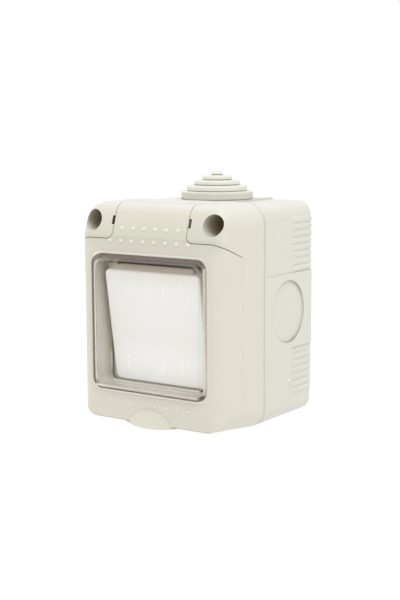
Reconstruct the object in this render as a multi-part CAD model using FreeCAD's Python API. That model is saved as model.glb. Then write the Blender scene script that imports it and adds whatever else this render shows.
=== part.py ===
"""Outdoor weatherproof switch: surface box, front frame, hinged lid with a clear window, rocker mechanism.

Millimetres. The origin is the centre of the wall face, +Y points into the wall, +Z is up.
"""
import FreeCAD
import Part
import math
import os

# Case, seen from the front
CASE_WIDTH = 70.0
CASE_EXTRA_HEIGHT = 20.9
CASE_RISE = 0.25
CASE_CORNER = 9.0
CASE_LOW_CORNER = 8.0
UNDER_SLOPE = 0.11
BOX_STEP_SIDE = 1.0
BOX_STEP_TOP = 1.2
BOX_STEP_BOTTOM = 0.3
BOX_CORNER = 6.0

# Depths, each counted from the piece behind
BOX_DEPTH = 38.1
FRAME_DEPTH = 16.3
LID_DEPTH = 13.7

# Walls
CASE_WALL = 2.2
LID_WALL = 2.0
BOX_FLOOR = 2.5
FRAME_EDGE_RADIUS = 1.0

# Rounded front of the lid and of the hinge blocks, with the upper part leaning back
FRONT_RADIUS = 5.5
LEAN_HEIGHT = 13.1
LEAN_SLOPE = 0.33

# Hinge blocks at the top corners
BLOCK_WIDTH = 16.95
BLOCK_HEIGHT = 14.1
BLOCK_SLOPE = 0.38
BLOCK_BREAK = 4.6
BLOCK_SIDE_SLOPE = 0.15
BLOCK_CORNER = 2.7
SEAM_GAP = 0.25

# Lid hinge
HINGE_SETBACK = 4.5
HINGE_DROP = 6.95
TRUNNION_RADIUS = 1.65
TRUNNION_LENGTH = 0.9
HINGE_SLOT_DEPTH = 1.1
RUNNING_CLEARANCE = 0.08
TONGUE_RADIUS = 9.15
TONGUE_CLEARANCE = 0.35

# Window in the lid
WINDOW_BORDER = 7.5
WINDOW_TOP_BORDER = 20.4
WINDOW_CORNER = 4.3
WINDOW_PROUD = 2.0
WINDOW_PANE = 1.2
WINDOW_RIM = 1.5
WINDOW_EDGE_RADIUS = 0.7
WINDOW_FLANGE = 1.8
WINDOW_FLANGE_THICKNESS = 1.0
WINDOW_FIT = 0.1
TICK_PITCH = 8.6
TICK_COUNT = 5
TICK_WIDTH = 0.8
TICK_LENGTH = 7.0
TICK_HEIGHT = 0.25
TICK_UPPER_RISE = 13.7
TICK_LOWER_DROP = 14.4

# Inner frame that clamps the window and forms the tunnel round the rocker
RETAINER_FLANGE = 2.2
RETAINER_THICKNESS = 1.5
TUNNEL_WALL = 1.7
TUNNEL_DEPTH = 6.2

# Moulded dots and thumb lip of the lid
DOT_RADIUS = 0.95
DOT_HEIGHT = 0.5
DOT_END_GAP = 4.5
UPPER_DOT_COUNT = 6
LONG_DOT_COUNT = 8
DOT_UPPER_DROP = 9.9
DOT_MIDDLE_DROP = 15.05
DOT_LOWER_DROP = 4.8
LIP_CREST_DROP = 1.0
LIP_HALF_WIDTH = 15.3
LIP_DROP = 1.3
LIP_FLARE = 2.4
LIP_LOW_RADIUS = 28.0
LIP_CREST_RADIUS = 65.0
LIP_THICKNESS = 4.0

# Collar of the frame round the rocker, with its seal
COLLAR_OVERLAP = 0.9
COLLAR_HEIGHT = 3.6
COLLAR_CORNER = 3.0
SEAL_HEIGHT = 1.9
SEAL_FIT = 0.1

# Rocker
ROCKER_SIDE_ROOM = 2.8
ROCKER_END_ROOM = 2.6
ROCKER_CORNER = 2.5
ROCKER_EDGE_RADIUS = 1.0
ROCKER_SKIRT = 9.4
ROCKER_WALL = 1.8
ROCKER_TILT = 8.72
ROCKER_FACE_RADIUS = 12.6
ROCKER_SIDE_GAP = 0.45
ROCKER_END_GAP = 1.75
PIVOT_SETBACK = 17.1
PIVOT_RADIUS = 1.5
PIVOT_LENGTH = 2.2
LUG_INNER_X = 13.0
LUG_THICKNESS = 2.6
LUG_RADIUS = 3.2

# Sprung plunger in the rocker
PLUNGER_RADIUS = 2.1
PLUNGER_REACH = 14.0
PLUNGER_LENGTH = 17.0
PLUNGER_BOSS_RADIUS = 3.6
PLUNGER_BOSS_END = 1.0
SPRING_RADIUS = 1.85
SPRING_WIRE = 0.5
SPRING_TURN_COUNT = 6

# Mechanism housing
HOUSING_WIDTH = 40.0
HOUSING_HEIGHT = 38.0
HOUSING_DEPTH = 26.8
HOUSING_WALL = 1.8
HOUSING_SEAT = 2.4
EAR_THICKNESS = 2.5
EAR_RADIUS = 4.0
FLANGE_HALF_HEIGHT = 6.0
FLANGE_GAP = 2.8
HOUSING_MOUTH_HALF = 10.0
MODULE_SCREW_INSET = 3.0
MODULE_BOSS_RADIUS = 3.0
MODULE_SCREW_RADIUS = 1.45
MODULE_SCREW_HEAD_RADIUS = 2.6
MODULE_SCREW_HEAD = 1.8
MODULE_SCREW_LENGTH = 5.0
TERMINAL_PLATE = 2.0

# Contacts and terminals
CONTACT_TILT = 5.0
CONTACT_WIDTH = 6.0
CONTACT_END = 2.5
CONTACT_THICKNESS = 1.2
CONTACT_GAP = 0.25
RIVET_INSET = 5.0
KNUCKLE_RADIUS = 1.2
RIVET_RADIUS = 1.8
RIVET_HEIGHT = 0.8
TERMINAL_SIZE = 7.0
TERMINAL_EDGE = 3.2
WIRE_BORE_RADIUS = 1.7
WIRE_SETBACK = 2.8
TERMINAL_SCREW_RADIUS = 1.4
TERMINAL_SCREW_HEAD_RADIUS = 2.3
TERMINAL_SCREW_HEAD = 1.5

# Screws that hold the frame on the box
SCREW_SIDE_INSET = 6.1
SCREW_UPPER_INSET = 7.3
SCREW_LOWER_INSET = 8.0
SCREW_ACCESS_RADIUS = 4.25
SCREW_SEAT = 8.9
SCREW_HEAD_RADIUS = 3.5
SCREW_HEAD = 2.4
SCREW_RADIUS = 1.75
SCREW_LENGTH = 18.0
SCREW_FIT = 0.1
BOSS_RADIUS = 5.2
HEAD_BEVEL_SHARE = 0.35
RECESS_ARM_SHARE = 0.6
RECESS_WIDTH_SHARE = 0.15
RECESS_DEPTH_SHARE = 0.3

# Seal between frame and box
BOX_SEAL_WIDTH = 1.0
BOX_SEAL_HEIGHT = 1.0

# Outside of the box
PAD_HALF = 15.6
PAD_RAISE = 0.7
RIM_WIDTH = 1.6
RIM_LOW = 2.5
KNOCKOUT_RADIUS = 12.7
KNOCKOUT_DEPTH = 0.8
ENTRY_SETBACK = 19.5
RIB_STRIP = 15.9
RIB_RAISE = 0.5
RIB_FADE = 3.0
UPPER_RIB_COUNT = 8
LOWER_RIB_COUNT = 7
PIP_RADIUS = 0.65
PIP_SETBACK = 18.0
PIP_DROP = 29.0
FIXING_X = 22.0
FIXING_Z = 30.0
FIXING_RADIUS = 2.25

# Rubber cable grommet, its steps as shares of the radius and of the height above the seat
GROMMET_RADIUS = 15.0
GROMMET_HEIGHT = 12.0
GROMMET_STEPS = ((1.0, 0.283), (0.84, 0.483), (0.64, 0.658), (0.42, 0.825), (0.173, 1.0))
GROMMET_EDGE_RADIUS = 0.8
GROMMET_TIP_RADIUS = 1.6
GROMMET_GROOVE = 0.4
GROMMET_NECK_RADIUS = 11.0
GROMMET_LIP_RADIUS = 13.0
GROMMET_LIP = 1.5
GROMMET_WALL = 1.5

# How far a cut runs past the face that it opens
OVERCUT = 1.0

# How near a point counts as on a face
TINY = 0.0001

V = FreeCAD.Vector

# Derived planes and places
SEAM_BOX = -BOX_DEPTH
SEAM_LID = SEAM_BOX - FRAME_DEPTH
LID_FACE = SEAM_LID - LID_DEPTH
HALF = CASE_WIDTH / 2
CASE_HEIGHT = CASE_WIDTH + CASE_EXTRA_HEIGHT
CASE_TOP = CASE_HEIGHT / 2 + CASE_RISE
CASE_BOTTOM = CASE_TOP - CASE_HEIGHT
LID_BOTTOM = CASE_BOTTOM + UNDER_SLOPE * (FRAME_DEPTH + LID_DEPTH)
BOX_HALF = HALF - BOX_STEP_SIDE
BOX_TOP = CASE_TOP - BOX_STEP_TOP
BOX_BOTTOM = CASE_BOTTOM + BOX_STEP_BOTTOM
LEAN_START_Z = CASE_TOP - LEAN_HEIGHT
BLOCK_INNER_X = HALF - BLOCK_WIDTH
BLOCK_BOTTOM_Z = CASE_TOP - BLOCK_HEIGHT
HINGE_Z = CASE_TOP - HINGE_DROP
WINDOW_HALF = HALF - WINDOW_BORDER
WINDOW_Z = CASE_TOP - WINDOW_TOP_BORDER - WINDOW_HALF
DOT_PITCH = 2 * (BLOCK_INNER_X - DOT_END_GAP) / (UPPER_DOT_COUNT - 1)
DOT_LOWER_Z = WINDOW_Z - WINDOW_HALF - DOT_LOWER_DROP
HINGE_Y = LID_FACE + HINGE_SETBACK
PIVOT_Y = LID_FACE + PIVOT_SETBACK
PIVOT_Z = WINDOW_Z
TUNNEL_HALF = WINDOW_HALF - WINDOW_RIM
PLATE_BACK = SEAM_LID + CASE_WALL
HOUSING_FRONT = PLATE_BACK + HOUSING_SEAT
HOUSING_BACK = HOUSING_FRONT + HOUSING_DEPTH
SCREW_SEAT_Y = SEAM_BOX - SCREW_SEAT
ROCKER_HALF_X = TUNNEL_HALF - ROCKER_SIDE_ROOM
ROCKER_HALF_Z = TUNNEL_HALF - ROCKER_END_ROOM
OPENING_HALF_X = ROCKER_HALF_X + ROCKER_SIDE_GAP
OPENING_HALF_Z = ROCKER_HALF_Z + ROCKER_END_GAP
FLANGE_REACH = HALF - CASE_WALL - FLANGE_GAP
MODULE_SCREW_X = FLANGE_REACH - MODULE_SCREW_INSET
CASE_SCREW_X = HALF - SCREW_SIDE_INSET
CASE_SCREW_UPPER_Z = CASE_TOP - SCREW_UPPER_INSET
CASE_SCREW_LOWER_Z = CASE_BOTTOM + SCREW_LOWER_INSET
COLLAR_FRONT = SEAM_LID - COLLAR_HEIGHT
COLLAR_HALF = TUNNEL_HALF + TUNNEL_WALL + SEAL_FIT + COLLAR_OVERLAP
TERMINAL_SPACING = HOUSING_HEIGHT / 2 - HOUSING_WALL - TERMINAL_EDGE
CONTACT_ARM = TERMINAL_SPACING - RIVET_INSET
ENTRY_Y = -ENTRY_SETBACK
PAD_TOP = BOX_TOP + PAD_RAISE
RIB_PITCH = (BOX_TOP - BOX_CORNER - PAD_HALF) / UPPER_RIB_COUNT
NODES = {}


def block(x0, x1, y0, y1, z0, z1):
    return Part.makeBox(x1 - x0, y1 - y0, z1 - z0, V(x0, y0, z0))


def rod_x(radius, x0, x1, y, z):
    return Part.makeCylinder(radius, x1 - x0, V(x0, y, z), V(1, 0, 0))


def rod_y(radius, y0, y1, x, z):
    return Part.makeCylinder(radius, y1 - y0, V(x, y0, z), V(0, 1, 0))


def rod_z(radius, z0, z1, x, y):
    return Part.makeCylinder(radius, z1 - z0, V(x, y, z0), V(0, 0, 1))


def both_sides(shape):
    return [shape, shape.mirror(V(0, 0, 0), V(1, 0, 0))]


def outline(half_x, z0, z1, radius, y):
    """Rounded rectangle in the plane at y."""
    k = radius * (1 - math.sqrt(0.5))
    x = half_x
    edges = [
        Part.LineSegment(V(-x + radius, y, z0), V(x - radius, y, z0)),
        Part.Arc(V(x - radius, y, z0), V(x - k, y, z0 + k), V(x, y, z0 + radius)),
        Part.LineSegment(V(x, y, z0 + radius), V(x, y, z1 - radius)),
        Part.Arc(V(x, y, z1 - radius), V(x - k, y, z1 - k), V(x - radius, y, z1)),
        Part.LineSegment(V(x - radius, y, z1), V(-x + radius, y, z1)),
        Part.Arc(V(-x + radius, y, z1), V(-x + k, y, z1 - k), V(-x, y, z1 - radius)),
        Part.LineSegment(V(-x, y, z1 - radius), V(-x, y, z0 + radius)),
        Part.Arc(V(-x, y, z0 + radius), V(-x + k, y, z0 + k), V(-x + radius, y, z0)),
    ]
    return Part.Face(Part.Wire([edge.toShape() for edge in edges]))


def slab(half_x, z0, z1, radius, y0, y1):
    return outline(half_x, z0, z1, radius, y0).extrude(V(0, y1 - y0, 0))


def square_slab(half, radius, y0, y1, half_z=None):
    """Rounded slab about the window's centre."""
    reach = half if half_z is None else half_z
    return slab(half, WINDOW_Z - reach, WINDOW_Z + reach, radius, y0, y1)


def profile_x(points, x0, x1):
    """Polygon of (y, z) points, extruded along X."""
    corners = [V(x0, y, z) for y, z in points]
    return Part.Face(Part.makePolygon(corners + corners[:1])).extrude(V(x1 - x0, 0, 0))


def edges_where(shape, test):
    """Edges whose points all pass the test."""
    chosen = []
    for edge in shape.Edges:
        first, last = edge.ParameterRange
        points = [edge.valueAt(first + (last - first) * i / 4) for i in range(5)]
        if all(test(p) for p in points):
            chosen.append(edge)
    return chosen


def lean_y(z):
    """Front plane of the part that leans back, carried on below its start."""
    return LID_FACE + LEAN_SLOPE * (z - LEAN_START_Z)


def case_form(inset, y0, y1):
    """Outline of the case between two depths, its underside dropping towards the wall."""
    half = HALF - inset
    depth = y1 - y0
    far = CASE_HEIGHT / 2
    low = CASE_BOTTOM + UNDER_SLOPE * (SEAM_BOX - y0) + inset
    upper = slab(half, CASE_BOTTOM - far, CASE_TOP - inset, CASE_CORNER - inset, y0, y1)
    lower = outline(half, low, CASE_TOP + far, CASE_LOW_CORNER - inset, y0)
    return upper.common(lower.extrude(V(0, depth, -UNDER_SLOPE * depth)))


def rounded_sides(half, radius, face):
    """Upright prism whose two front edges are rounded."""
    k = radius * (1 - math.sqrt(0.5))
    z = CASE_BOTTOM - OVERCUT
    round_y = face + radius
    edges = [
        Part.LineSegment(V(-half + radius, face, z), V(half - radius, face, z)),
        Part.Arc(V(half - radius, face, z), V(half - k, face + k, z), V(half, round_y, z)),
        Part.LineSegment(V(half, round_y, z), V(half, SEAM_BOX, z)),
        Part.LineSegment(V(half, SEAM_BOX, z), V(-half, SEAM_BOX, z)),
        Part.LineSegment(V(-half, SEAM_BOX, z), V(-half, round_y, z)),
        Part.Arc(V(-half, round_y, z), V(-half + k, face + k, z), V(-half + radius, face, z)),
    ]
    prism = Part.Face(Part.Wire([edge.toShape() for edge in edges]))
    return prism.extrude(V(0, 0, CASE_HEIGHT + 2 * OVERCUT))


def front_shell(inset):
    """Outer form that the lid and the hinge blocks share, moved in by a wall thickness."""
    half = HALF - inset
    z0 = CASE_BOTTOM - CASE_HEIGHT / 2
    z1 = CASE_TOP - inset
    face = LID_FACE + inset
    corner = CASE_CORNER - inset
    radius = FRONT_RADIUS - inset
    flat = case_form(inset, face, SEAM_LID).common(rounded_sides(half, radius, face))
    shift = inset * math.hypot(1, LEAN_SLOPE)
    lean = slab(half, z0, z1, corner, LID_FACE - 4 * LID_DEPTH, SEAM_LID)
    front = LID_FACE - 5 * LID_DEPTH
    below = z0 - OVERCUT
    above = z1 + OVERCUT
    leaning = [(front, below), (lean_y(below) + shift, below), (lean_y(above) + shift, above), (front, above)]
    lean = lean.cut(profile_x(leaning, -HALF, HALF))
    rim = edges_where(lean, lambda p: abs(p.y - lean_y(p.z) - shift) < TINY)
    lean = lean.makeFillet(radius, rim)
    return flat.common(lean)


def corner_zone(grow):
    """Space of the right hinge block, its lower face sloping down towards the wall."""
    x = BLOCK_INNER_X - grow
    z = BLOCK_BOTTOM_Z - grow * math.hypot(1, BLOCK_SLOPE)
    radius = BLOCK_CORNER + grow
    k = radius * (1 - math.sqrt(0.5))
    y = LID_FACE - OVERCUT
    z += BLOCK_SLOPE * OVERCUT
    top = CASE_TOP + 2 * LID_DEPTH
    far = HALF + OVERCUT
    turn = HALF - BLOCK_BREAK
    end = z - BLOCK_SIDE_SLOPE * (far - turn)
    edges = [
        Part.LineSegment(V(x, y, top), V(x, y, z + radius)),
        Part.Arc(V(x, y, z + radius), V(x + k, y, z + k), V(x + radius, y, z)),
        Part.LineSegment(V(x + radius, y, z), V(turn, y, z)),
        Part.LineSegment(V(turn, y, z), V(far, y, end)),
        Part.LineSegment(V(far, y, end), V(far, y, top)),
        Part.LineSegment(V(far, y, top), V(x, y, top)),
    ]
    face = Part.Face(Part.Wire([edge.toShape() for edge in edges]))
    depth = LID_DEPTH + 2 * OVERCUT
    return face.extrude(V(0, depth, -BLOCK_SLOPE * depth))


def keep(name, shape):
    NODES[name] = shape


# Back box
def ribs(x, z_start, count):
    """Waved grip strip on the right side, fading out towards the front."""
    root = x - CASE_WALL / 2
    crest = x + RIB_RAISE
    end = z_start + count * RIB_PITCH
    edges = []
    for i in range(count):
        z = z_start + i * RIB_PITCH
        edges.append(Part.Arc(V(x, 0, z), V(crest, 0, z + RIB_PITCH / 2), V(x, 0, z + RIB_PITCH)).toShape())
    edges += Part.makePolygon([V(x, 0, end), V(root, 0, end), V(root, 0, z_start), V(x, 0, z_start)]).Edges
    waves = Part.Face(Part.Wire(edges)).extrude(V(0, -RIB_STRIP, 0))
    corners = [(root, -RIB_STRIP), (x, -RIB_STRIP), (crest, RIB_FADE - RIB_STRIP), (crest, 0), (root, 0)]
    points = [V(a, b, z_start) for a, b in corners]
    return waves.common(Part.Face(Part.makePolygon(points + points[:1])).extrude(V(0, 0, end - z_start)))


box = slab(BOX_HALF, BOX_BOTTOM, BOX_TOP, BOX_CORNER, SEAM_BOX, 0)
rim_low = BOX_BOTTOM - PAD_RAISE
rim = slab(BOX_HALF + PAD_RAISE, rim_low, PAD_TOP, BOX_CORNER + PAD_RAISE, SEAM_BOX, SEAM_BOX + RIM_WIDTH)
rim = rim.makeChamfer(PAD_RAISE, edges_where(rim, lambda p: abs(p.y - SEAM_BOX) < TINY))
rim = rim.cut(block(-HALF, HALF, SEAM_BOX, 0, rim_low, BOX_BOTTOM + RIM_LOW))
pad_front = SEAM_BOX + PAD_RAISE
pad_out = BOX_HALF + PAD_RAISE
pad_root = BOX_HALF - OVERCUT
pads = both_sides(block(pad_root, pad_out, pad_front, 0, -PAD_HALF, PAD_HALF))
pads.append(block(-PAD_HALF, PAD_HALF, pad_front, 0, BOX_TOP - OVERCUT, PAD_TOP))
flank_low = BOX_BOTTOM + BOX_CORNER
flank = [(pad_root, -PAD_HALF), (pad_out, -PAD_HALF), (BOX_HALF, flank_low), (pad_root, flank_low)]
flank = [V(x, pad_front, z) for x, z in flank]
flank = Part.Face(Part.makePolygon(flank + flank[:1])).extrude(V(0, -RIB_STRIP - pad_front, 0))
pads += both_sides(flank)
pads += both_sides(ribs(BOX_HALF, PAD_HALF, UPPER_RIB_COUNT))
pads += both_sides(ribs(BOX_HALF, -PAD_HALF - LOWER_RIB_COUNT * RIB_PITCH, LOWER_RIB_COUNT))
pads += both_sides(rod_x(PIP_RADIUS, pad_root, pad_out, -PIP_SETBACK, -PIP_DROP))
box = box.fuse([rim] + pads)
inner_corner = BOX_CORNER - CASE_WALL
inner_low = BOX_BOTTOM + CASE_WALL
inner_high = BOX_TOP - CASE_WALL
box = box.cut(slab(BOX_HALF - CASE_WALL, inner_low, inner_high, inner_corner, SEAM_BOX, -BOX_FLOOR))
knockout = rod_x(KNOCKOUT_RADIUS, pad_out - KNOCKOUT_DEPTH, pad_out + OVERCUT, -BOX_DEPTH / 2, 0)
box = box.cut(both_sides(knockout))
box = box.cut(rod_z(KNOCKOUT_RADIUS, BOX_BOTTOM - OVERCUT, BOX_BOTTOM + KNOCKOUT_DEPTH, 0, ENTRY_Y))
screw_rows = (CASE_SCREW_LOWER_Z, CASE_SCREW_UPPER_Z)
case_screws = [(x, z) for x in (-CASE_SCREW_X, CASE_SCREW_X) for z in screw_rows]
pillars = [rod_y(BOSS_RADIUS, SEAM_BOX, -BOX_FLOOR, x, z) for x, z in case_screws]
body = slab(BOX_HALF, BOX_BOTTOM, BOX_TOP, BOX_CORNER, SEAM_BOX, 0)
box = box.fuse([pillar.common(body) for pillar in pillars])
seal_mid_x = BOX_HALF - CASE_WALL / 2
seal_low = BOX_BOTTOM + CASE_WALL / 2
seal_high = BOX_TOP - CASE_WALL / 2
seal_corner = BOX_CORNER - CASE_WALL / 2


def box_ring(width, y0, y1):
    half = width / 2
    outer = slab(seal_mid_x + half, seal_low - half, seal_high + half, seal_corner + half, y0, y1)
    return outer.cut(slab(seal_mid_x - half, seal_low + half, seal_high - half, seal_corner - half, y0, y1))


screw_end = SCREW_SEAT_Y + SCREW_LENGTH
box = box.cut(box_ring(BOX_SEAL_WIDTH + SEAL_FIT, SEAM_BOX, SEAM_BOX + BOX_SEAL_HEIGHT))
screw_pilot = SCREW_RADIUS + SCREW_FIT / 2
box = box.cut([rod_y(screw_pilot, SEAM_BOX, screw_end + OVERCUT, x, z) for x, z in case_screws])
box = box.cut(rod_z(GROMMET_NECK_RADIUS, inner_high - OVERCUT, PAD_TOP + OVERCUT, 0, ENTRY_Y))
fixings = [(x, z) for x in (-FIXING_X, FIXING_X) for z in (-FIXING_Z, FIXING_Z)]
box = box.cut([rod_y(FIXING_RADIUS, -BOX_FLOOR - OVERCUT, OVERCUT, x, z) for x, z in fixings])
keep("back_box", box.removeSplitter())
keep("box_seal", box_ring(BOX_SEAL_WIDTH, SEAM_BOX, SEAM_BOX + BOX_SEAL_HEIGHT))


# Cable grommet, turned about the entry's axis
def grommet():
    top_wall = BOX_TOP - CASE_WALL
    neck = GROMMET_NECK_RADIUS - SEAL_FIT / 2
    base = top_wall - GROMMET_LIP
    steps = [(share * GROMMET_RADIUS, PAD_TOP + rise * GROMMET_HEIGHT) for share, rise in GROMMET_STEPS]
    points = [V(neck - GROMMET_WALL, 0, base), V(GROMMET_LIP_RADIUS, 0, base)]
    points += [V(GROMMET_LIP_RADIUS, 0, top_wall), V(neck, 0, top_wall), V(neck, 0, PAD_TOP)]
    foot = PAD_TOP
    for radius, top in steps:
        inside = radius - GROMMET_GROOVE
        above = foot + GROMMET_GROOVE
        points += [V(inside, 0, foot), V(inside, 0, above), V(radius, 0, above), V(radius, 0, top)]
        foot = top
    points.append(V(0, 0, foot))
    points.append(V(0, 0, foot - 2 * GROMMET_WALL))
    tip_radius, tip = steps[-2]
    points.append(V(tip_radius - GROMMET_WALL, 0, tip - GROMMET_WALL))
    face = Part.Face(Part.makePolygon(points + points[:1]))
    turned = face.revolve(V(0, 0, 0), V(0, 0, 1), 360)
    for radius, z in steps:
        size = GROMMET_TIP_RADIUS if z == foot else GROMMET_EDGE_RADIUS
        rim = edges_where(turned, lambda p: abs(p.z - z) < TINY and abs(math.hypot(p.x, p.y) - radius) < TINY)
        turned = turned.makeFillet(size, rim)
    turned.translate(V(0, ENTRY_Y, 0))
    return turned


keep("cable_grommet", grommet())

# Front frame with the two hinge blocks
shell = front_shell(0)
frame = case_form(0, SEAM_LID, SEAM_BOX)
frame = frame.makeFillet(FRAME_EDGE_RADIUS, edges_where(frame, lambda p: abs(p.y - SEAM_BOX) < TINY))
inner_corner = CASE_CORNER - CASE_WALL
inner_low = CASE_BOTTOM + UNDER_SLOPE * FRAME_DEPTH + CASE_WALL
inner_high = CASE_TOP - CASE_WALL
frame = frame.cut(slab(HALF - CASE_WALL, inner_low, inner_high, inner_corner, PLATE_BACK, SEAM_BOX))
blocks = both_sides(shell.common(corner_zone(0)))
swing = rod_x(TONGUE_RADIUS + TONGUE_CLEARANCE, -BLOCK_INNER_X, BLOCK_INNER_X, HINGE_Y, HINGE_Z)
roof_front = HINGE_Y + math.sqrt(TONGUE_RADIUS ** 2 - (CASE_TOP - HINGE_Z) ** 2) + TONGUE_CLEARANCE
roof = shell.common(block(-BLOCK_INNER_X, BLOCK_INNER_X, roof_front, SEAM_LID, HINGE_Z, CASE_TOP))
collar = square_slab(COLLAR_HALF, WINDOW_CORNER + COLLAR_OVERLAP, COLLAR_FRONT, SEAM_LID)
bosses = [rod_y(BOSS_RADIUS, PLATE_BACK, SEAM_BOX, x, z) for x, z in case_screws]
solid = case_form(0, SEAM_LID, SEAM_BOX)
module_screws = [(x, PIVOT_Z) for x in (-MODULE_SCREW_X, MODULE_SCREW_X)]
module_bosses = [rod_y(MODULE_BOSS_RADIUS, PLATE_BACK, HOUSING_FRONT, x, z) for x, z in module_screws]
frame = frame.fuse(blocks + [roof, collar] + [boss.common(solid) for boss in bosses] + module_bosses)
frame = frame.cut(swing)
frame = frame.cut(square_slab(OPENING_HALF_X, COLLAR_CORNER, COLLAR_FRONT, PLATE_BACK, OPENING_HALF_Z))


def seal_ring(fit, y0, y1):
    """Ring under the back edge of the tunnel."""
    outer = TUNNEL_HALF + TUNNEL_WALL + fit
    inner = TUNNEL_HALF - fit
    outer_corner = WINDOW_CORNER - WINDOW_RIM + TUNNEL_WALL + fit
    inner_ring = square_slab(inner, WINDOW_CORNER - WINDOW_RIM - fit, y0, y1)
    return square_slab(outer, outer_corner, y0, y1).cut(inner_ring)


tunnel_front = LID_FACE + LID_WALL + WINDOW_FLANGE_THICKNESS
tunnel_back = tunnel_front + TUNNEL_DEPTH
seal_back = tunnel_back + SEAL_HEIGHT
frame = frame.cut(seal_ring(SEAL_FIT, COLLAR_FRONT - OVERCUT, seal_back))
keep("collar_seal", seal_ring(0, tunnel_back, seal_back))

slot_radius = TRUNNION_RADIUS + RUNNING_CLEARANCE
slot_end = BLOCK_INNER_X + HINGE_SLOT_DEPTH
slot_start = BLOCK_INNER_X - OVERCUT
slot = rod_x(slot_radius, slot_start, slot_end, HINGE_Y, HINGE_Z)
slot = slot.fuse(block(slot_start, slot_end, LID_FACE, HINGE_Y, HINGE_Z - slot_radius, HINGE_Z + slot_radius))
frame = frame.cut(both_sides(slot))
for x, z in case_screws:
    frame = frame.cut(rod_y(SCREW_ACCESS_RADIUS, LID_FACE, SCREW_SEAT_Y, x, z))
    frame = frame.cut(rod_y(SCREW_RADIUS + SCREW_FIT, SCREW_SEAT_Y, SEAM_BOX, x, z))
module_tip = HOUSING_FRONT + HOUSING_WALL - MODULE_SCREW_LENGTH
pilot = MODULE_SCREW_RADIUS + SCREW_FIT / 2
frame = frame.cut([rod_y(pilot, module_tip - SCREW_FIT, HOUSING_FRONT, x, z) for x, z in module_screws])
keep("front_frame", frame.removeSplitter())


def screw(radius, length, head_radius, head, x, z, seat, way):
    """Pan-head screw along Y, its head standing out of the seat against the way it points."""
    shank = Part.makeCylinder(radius, length, V(x, seat, z), V(0, way, 0))
    cap = Part.makeCylinder(head_radius, head, V(x, seat, z), V(0, -way, 0))
    top = seat - way * head
    rim = edges_where(cap, lambda p: abs(p.y - top) < TINY)
    cap = cap.makeChamfer(head * HEAD_BEVEL_SHARE, rim[:1])
    arm = head_radius * RECESS_ARM_SHARE
    half = head_radius * RECESS_WIDTH_SHARE
    deep = head * RECESS_DEPTH_SHARE
    cap = cap.cut(block(x - arm, x + arm, top - deep, top + deep, z - half, z + half))
    cap = cap.cut(block(x - half, x + half, top - deep, top + deep, z - arm, z + arm))
    return shank.fuse(cap)


keep("case_screws", Part.makeCompound(
    [screw(SCREW_RADIUS, SCREW_LENGTH, SCREW_HEAD_RADIUS, SCREW_HEAD, x, z, SCREW_SEAT_Y, 1)
     for x, z in case_screws]))

# Lid
lid_room = front_shell(LID_WALL)
lid_hollow = lid_room.cut(both_sides(corner_zone(SEAM_GAP + LID_WALL)))
flange_in = WINDOW_HALF + WINDOW_FLANGE + WINDOW_FIT
flange_out = flange_in + RETAINER_FLANGE
flange_corner = WINDOW_CORNER + WINDOW_FLANGE + WINDOW_FIT
room_corner = flange_corner + RETAINER_FLANGE
retainer_room = square_slab(flange_out + WINDOW_FIT, room_corner, LID_FACE + LID_WALL, SEAM_LID)
lid_hollow = lid_hollow.fuse(lid_room.common(retainer_room))
lid = shell.cut(both_sides(corner_zone(SEAM_GAP)))
lid = lid.cut(lid_hollow)
behind = block(-BLOCK_INNER_X, BLOCK_INNER_X, HINGE_Y, SEAM_LID, BLOCK_BOTTOM_Z - LID_WALL, CASE_TOP)
lid = lid.cut(behind.cut(rod_x(TONGUE_RADIUS, -HALF, HALF, HINGE_Y, HINGE_Z)))
tongue_side = BLOCK_INNER_X - SEAM_GAP
ear = rod_x(TRUNNION_RADIUS * 2, tongue_side - LID_WALL, tongue_side, HINGE_Y, HINGE_Z).common(shell)
stub_end = tongue_side + SEAM_GAP + TRUNNION_LENGTH
stub = rod_x(TRUNNION_RADIUS, tongue_side - LID_WALL, stub_end, HINGE_Y, HINGE_Z)
lid = lid.fuse(both_sides(ear) + both_sides(stub))
window_hole = WINDOW_HALF + WINDOW_FIT
lid = lid.cut(square_slab(window_hole, WINDOW_CORNER + WINDOW_FIT, LID_FACE, LID_FACE + LID_WALL))


def dot(x, z):
    """Low round dot on the front."""
    leaning = z > LEAN_START_Z
    slope = LEAN_SLOPE if leaning else 0.0
    scale = 1 / math.hypot(1, slope)
    ball = (DOT_RADIUS ** 2 + DOT_HEIGHT ** 2) / (2 * DOT_HEIGHT)
    depth = ball - DOT_HEIGHT
    y = lean_y(z) if leaning else LID_FACE
    centre = V(x, y + depth * scale, z - depth * slope * scale)
    way = V(0, -scale, slope * scale)
    cap = Part.makeSphere(ball, centre, way, -90, 90, 360)
    core = Part.makeCylinder(DOT_RADIUS, DOT_HEIGHT * 3, V(x, y, z) - way * DOT_HEIGHT, way)
    return cap.common(core)


dot_rows = ((CASE_TOP - DOT_UPPER_DROP, UPPER_DOT_COUNT), (CASE_TOP - DOT_MIDDLE_DROP, LONG_DOT_COUNT),
            (DOT_LOWER_Z, LONG_DOT_COUNT))
dots = []
for z, count in dot_rows:
    dots += [dot((i - (count - 1) / 2) * DOT_PITCH, z) for i in range(count)]
lid = lid.fuse(dots)

# Thumb lip, lofted from a shallow arc at the crest to a tighter arc that stands out at the bottom
def lip_profile(radius, front, z):
    """Arc across the front, closed by a straight back."""
    end = front + radius - math.sqrt(radius ** 2 - LIP_HALF_WIDTH ** 2)
    left = V(-LIP_HALF_WIDTH, end, z)
    right = V(LIP_HALF_WIDTH, end, z)
    back = LID_FACE + LIP_THICKNESS
    arc = Part.Arc(left, V(0, front, z), right).toShape()
    rest = Part.makePolygon([right, V(LIP_HALF_WIDTH, back, z), V(-LIP_HALF_WIDTH, back, z), left])
    return Part.Wire([arc] + rest.Edges)


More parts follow.
